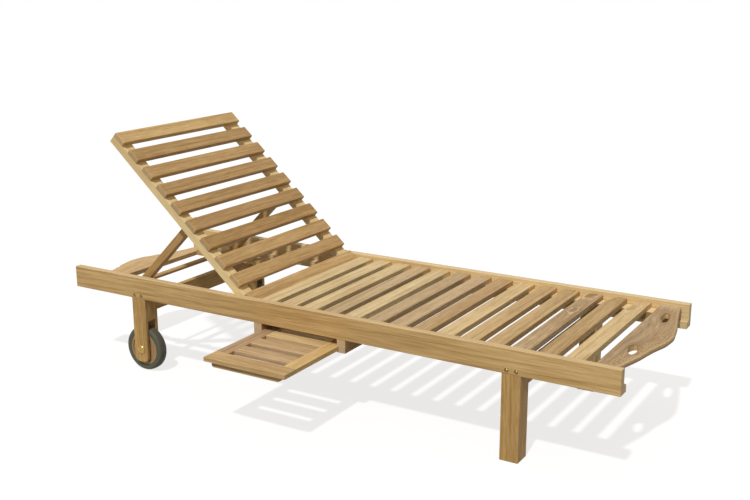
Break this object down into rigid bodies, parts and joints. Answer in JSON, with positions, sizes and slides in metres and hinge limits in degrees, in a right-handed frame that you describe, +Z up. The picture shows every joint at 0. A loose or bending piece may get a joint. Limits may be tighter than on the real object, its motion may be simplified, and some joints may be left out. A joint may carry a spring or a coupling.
{
  "type": "reclining sun lounger",
  "caption": "Slatted teak sun lounger with a propped reclining backrest, a pull-out side tray, straight legs at the foot and wheels at the head.",
  "frame": {"origin": "on the ground under the middle of the side rails, halfway between them", "axes": "+X towards the foot end, +Y towards the sitter's left, +Z up; the tray pulls out to -Y"},
  "size_m": [2.0795, 0.969, 0.8288],
  "materials": {
    "teak_pale": "planed and sanded, unfinished",
    "teak_tan": "planed and sanded, unfinished",
    "teak_pink": "planed and sanded, unfinished",
    "teak_brown": "planed and sanded, unfinished",
    "teak_weathered": "live edged, sanded, grey brown",
    "wheel_wood": "turned, oiled",
    "tyre_rubber": "moulded, dusty matt",
    "brass": "satin, dulled outdoors"
  },
  "bodies": {
    "frame": {"right_rail": "teak_tan", "left_rail": "teak_tan", "right_seat_bearer": "teak_pale", "left_seat_bearer": "teak_pale", "seat_slat_01": "teak_pale", "seat_slat_02": "teak_pale", "seat_slat_03": "teak_pale", "seat_slat_04": "teak_pink", "seat_slat_05": "teak_pale", "seat_slat_06": "teak_pink", "seat_slat_07": "teak_pale", "seat_slat_08": "teak_brown", "seat_slat_09": "teak_pink", "seat_slat_10": "teak_tan", "seat_slat_11": "teak_tan", "seat_slat_12": "teak_brown", "seat_slat_13": "teak_tan", "seat_slat_14": "teak_tan", "foot_board": "teak_weathered", "head_board": "teak_tan", "right_front_leg": "teak_tan", "left_front_leg": "teak_tan", "right_wheel_leg": "teak_tan", "left_wheel_leg": "teak_tan", "front_stretcher": "teak_tan", "rear_stretcher": "teak_tan", "right_rack": "teak_tan", "left_rack": "teak_tan", "tray_head_runner": "teak_tan", "tray_foot_runner": "teak_tan", "leg_screws": "brass", "axle_bolts": "brass"},
    "backrest": {"right_back_stile": "teak_pale", "left_back_stile": "teak_pale", "back_slat_01": "teak_brown", "back_slat_02": "teak_brown", "back_slat_03": "teak_brown", "back_slat_04": "teak_brown", "back_slat_05": "teak_brown", "back_slat_06": "teak_brown", "back_slat_07": "teak_brown", "back_slat_08": "teak_brown", "back_slat_09": "teak_brown", "back_slat_10": "teak_brown", "pivot_pins": "brass"},
    "prop": {"right_prop_arm": "teak_tan", "left_prop_arm": "teak_tan", "prop_bar": "teak_tan"},
    "tray": {"tray_front_rail": "teak_tan", "tray_back_rail": "teak_pale", "tray_head_stile": "teak_pink", "tray_foot_stile": "teak_pale", "tray_slat_1": "teak_tan", "tray_slat_2": "teak_tan", "tray_slat_3": "teak_pale", "tray_pull": "teak_brown"},
    "right_wheel": {"right_tyre": "tyre_rubber", "right_wheel_disc": "wheel_wood"},
    "left_wheel": {"left_tyre": "tyre_rubber", "left_wheel_disc": "wheel_wood"}
  },
  "joints": [
    {"name": "backrest_hinge", "type": "hinge", "parent": "frame", "child": "backrest", "pos_m": [-0.246, 0, 0.3], "axis": [0, 1, 0], "range_deg": [-41.9, 14.1]},
    {"name": "prop_hinge", "type": "hinge", "parent": "backrest", "child": "prop", "pos_m": [-0.51767, 0, 0.54376], "axis": [0, 1, 0], "range_deg": [-29.23, 86.88]},
    {"name": "tray_slide", "type": "slide", "parent": "frame", "child": "tray", "axis": [0, 1, 0], "range_m": [0, 0.281]},
    {"name": "right_wheel_spin", "type": "hinge", "parent": "frame", "child": "right_wheel", "pos_m": [-0.708, -0.31, 0.079], "axis": [0, 1, 0], "continuous": true},
    {"name": "left_wheel_spin", "type": "hinge", "parent": "frame", "child": "left_wheel", "pos_m": [-0.708, 0.31, 0.079], "axis": [0, 1, 0], "continuous": true}
  ],
  "couplings": [
    {"joint": "prop_hinge", "follows": "backrest_hinge", "ratio": -2.0734}
  ]
}
